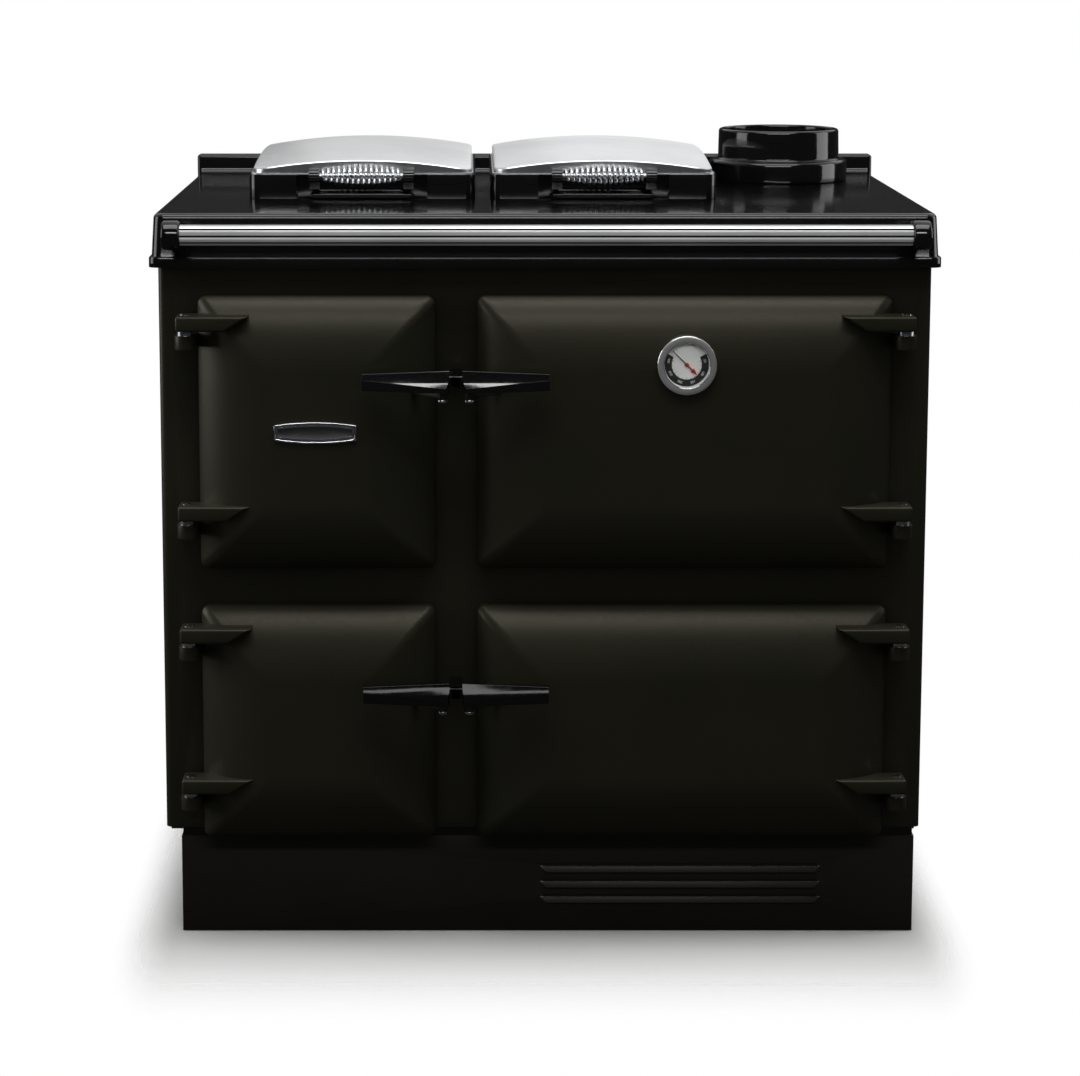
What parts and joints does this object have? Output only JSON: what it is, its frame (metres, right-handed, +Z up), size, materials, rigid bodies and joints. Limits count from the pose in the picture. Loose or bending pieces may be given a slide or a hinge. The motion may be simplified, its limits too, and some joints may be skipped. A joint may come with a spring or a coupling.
{
  "type": "range cooker",
  "caption": "Freestanding cast iron range cooker with domed doors on pin hinges, lever latches, lifting domed hob lids, a hand rail, a thermometer and a flue collar.",
  "frame": {"origin": "on the floor, below the middle of the cooker's overall box", "axes": "+Z up, +X to the right as seen from the front, -Y towards the cook"},
  "size_m": [0.989, 0.741, 1.0125],
  "materials": {
    "dark_enamel": "semi-gloss vitreous enamel",
    "black_enamel": "high-gloss vitreous enamel",
    "plinth_paint": "satin paint",
    "cast_iron": "bare casting",
    "machined_iron": "machined",
    "chrome": "polished",
    "steel": "bright steel",
    "zinc_sheet": "zinc coated sheet",
    "shelf_steel": "plated wire",
    "rope_seal": "glass fibre rope",
    "mineral_wool": "matte",
    "burner_paint": "semi-gloss paint",
    "fascia_paint": "satin paint",
    "knob_plastic": "moulded",
    "dial_white": "matte print",
    "gauge_glass": "clear",
    "needle_paint": "matte"
  },
  "bodies": {
    "cabinet": {"base_frame": "plinth_paint", "base_plate": "plinth_paint", "levelling_feet": "steel", "plinth_panel": "plinth_paint", "front_plate": "dark_enamel", "left_side_panel": "dark_enamel", "right_side_panel": "dark_enamel", "back_panel": "zinc_sheet", "cover_screws": "steel", "top_plate": "black_enamel", "hotplate": "machined_iron", "flue_collar": "black_enamel", "flue_duct": "cast_iron", "combustion_chamber": "cast_iron", "burner": "burner_paint", "insulation": "mineral_wool", "control_fascia": "fascia_paint", "main_oven": "cast_iron", "lower_oven": "cast_iron", "main_oven_shelf": "shelf_steel", "lower_oven_shelf": "shelf_steel", "hand_rail": "chrome", "rail_brackets": "black_enamel", "door_hinge_pins": "steel", "latch_keepers": "steel", "lid_hinge_brackets": "black_enamel", "lid_hinge_pins": "steel"},
    "upper_left_door": {"upper_left_door": "dark_enamel", "upper_left_liner": "zinc_sheet", "upper_left_seal": "rope_seal", "name_plate": "chrome"},
    "upper_left_handle": {"upper_left_handle": "black_enamel"},
    "lower_left_door": {"lower_left_door": "dark_enamel", "lower_left_liner": "zinc_sheet", "lower_left_seal": "rope_seal"},
    "lower_left_handle": {"lower_left_handle": "black_enamel"},
    "upper_right_door": {"upper_right_door": "dark_enamel", "upper_right_liner": "zinc_sheet", "upper_right_seal": "rope_seal", "gauge_bezel": "chrome", "gauge_dial": "dial_white", "gauge_glass": "gauge_glass"},
    "upper_right_handle": {"upper_right_handle": "black_enamel"},
    "lower_right_door": {"lower_right_door": "dark_enamel", "lower_right_liner": "zinc_sheet", "lower_right_seal": "rope_seal"},
    "lower_right_handle": {"lower_right_handle": "black_enamel"},
    "gauge_needle": {"gauge_needle": "needle_paint"},
    "left_lid": {"left_lid_dome": "chrome", "left_lid_frame": "black_enamel", "left_lid_liner": "zinc_sheet", "left_handle_rod": "steel", "left_handle_coil": "chrome"},
    "right_lid": {"right_lid_dome": "chrome", "right_lid_frame": "black_enamel", "right_lid_liner": "zinc_sheet", "right_handle_rod": "steel", "right_handle_coil": "chrome"},
    "oven_knob": {"oven_knob": "knob_plastic"},
    "boiler_knob": {"boiler_knob": "knob_plastic"}
  },
  "joints": [
    {"name": "upper_left_door_hinge", "type": "hinge", "parent": "cabinet", "child": "upper_left_door", "pos_m": [-0.447, -0.3185, 0.66395], "axis": [0, 0, -1], "range_deg": [0, 115]},
    {"name": "lower_left_door_hinge", "type": "hinge", "parent": "cabinet", "child": "lower_left_door", "pos_m": [-0.447, -0.3185, 0.2912], "axis": [0, 0, -1], "range_deg": [0, 115]},
    {"name": "upper_right_door_hinge", "type": "hinge", "parent": "cabinet", "child": "upper_right_door", "pos_m": [0.447, -0.3185, 0.66395], "axis": [0, 0, 1], "range_deg": [0, 115]},
    {"name": "lower_right_door_hinge", "type": "hinge", "parent": "cabinet", "child": "lower_right_door", "pos_m": [0.447, -0.3185, 0.2912], "axis": [0, 0, 1], "range_deg": [0, 115]},
    {"name": "upper_left_latch", "type": "hinge", "parent": "upper_left_door", "child": "upper_left_handle", "pos_m": [-0.1275, -0.3545, 0.7392], "axis": [0, 0, 1], "range_deg": [0, 8]},
    {"name": "lower_left_latch", "type": "hinge", "parent": "lower_left_door", "child": "lower_left_handle", "pos_m": [-0.1275, -0.3545, 0.3447], "axis": [0, 0, 1], "range_deg": [0, 8]},
    {"name": "upper_right_latch", "type": "hinge", "parent": "upper_right_door", "child": "upper_right_handle", "pos_m": [-0.0945, -0.3545, 0.7392], "axis": [0, 0, -1], "range_deg": [0, 8]},
    {"name": "lower_right_latch", "type": "hinge", "parent": "lower_right_door", "child": "lower_right_handle", "pos_m": [-0.0945, -0.3545, 0.3447], "axis": [0, 0, -1], "range_deg": [0, 8]},
    {"name": "left_lid_hinge", "type": "hinge", "parent": "cabinet", "child": "left_lid", "pos_m": [-0.2355, 0.2975, 0.9595], "axis": [-1, 0, 0], "range_deg": [0, 92]},
    {"name": "right_lid_hinge", "type": "hinge", "parent": "cabinet", "child": "right_lid", "pos_m": [0.0815, 0.2975, 0.9595], "axis": [-1, 0, 0], "range_deg": [0, 92]},
    {"name": "needle_spindle", "type": "hinge", "parent": "upper_right_door", "child": "gauge_needle", "pos_m": [0.1745, -0.3335, 0.7567], "axis": [0, -1, 0], "range_deg": [-165, 75]},
    {"name": "oven_knob_turn", "type": "hinge", "parent": "cabinet", "child": "oven_knob", "pos_m": [-0.2405, -0.2065, 0.68395], "axis": [0, 1, 0], "range_deg": [0, 270]},
    {"name": "boiler_knob_turn", "type": "hinge", "parent": "cabinet", "child": "boiler_knob", "pos_m": [-0.3305, -0.2065, 0.68395], "axis": [0, 1, 0], "range_deg": [0, 270]}
  ]
}
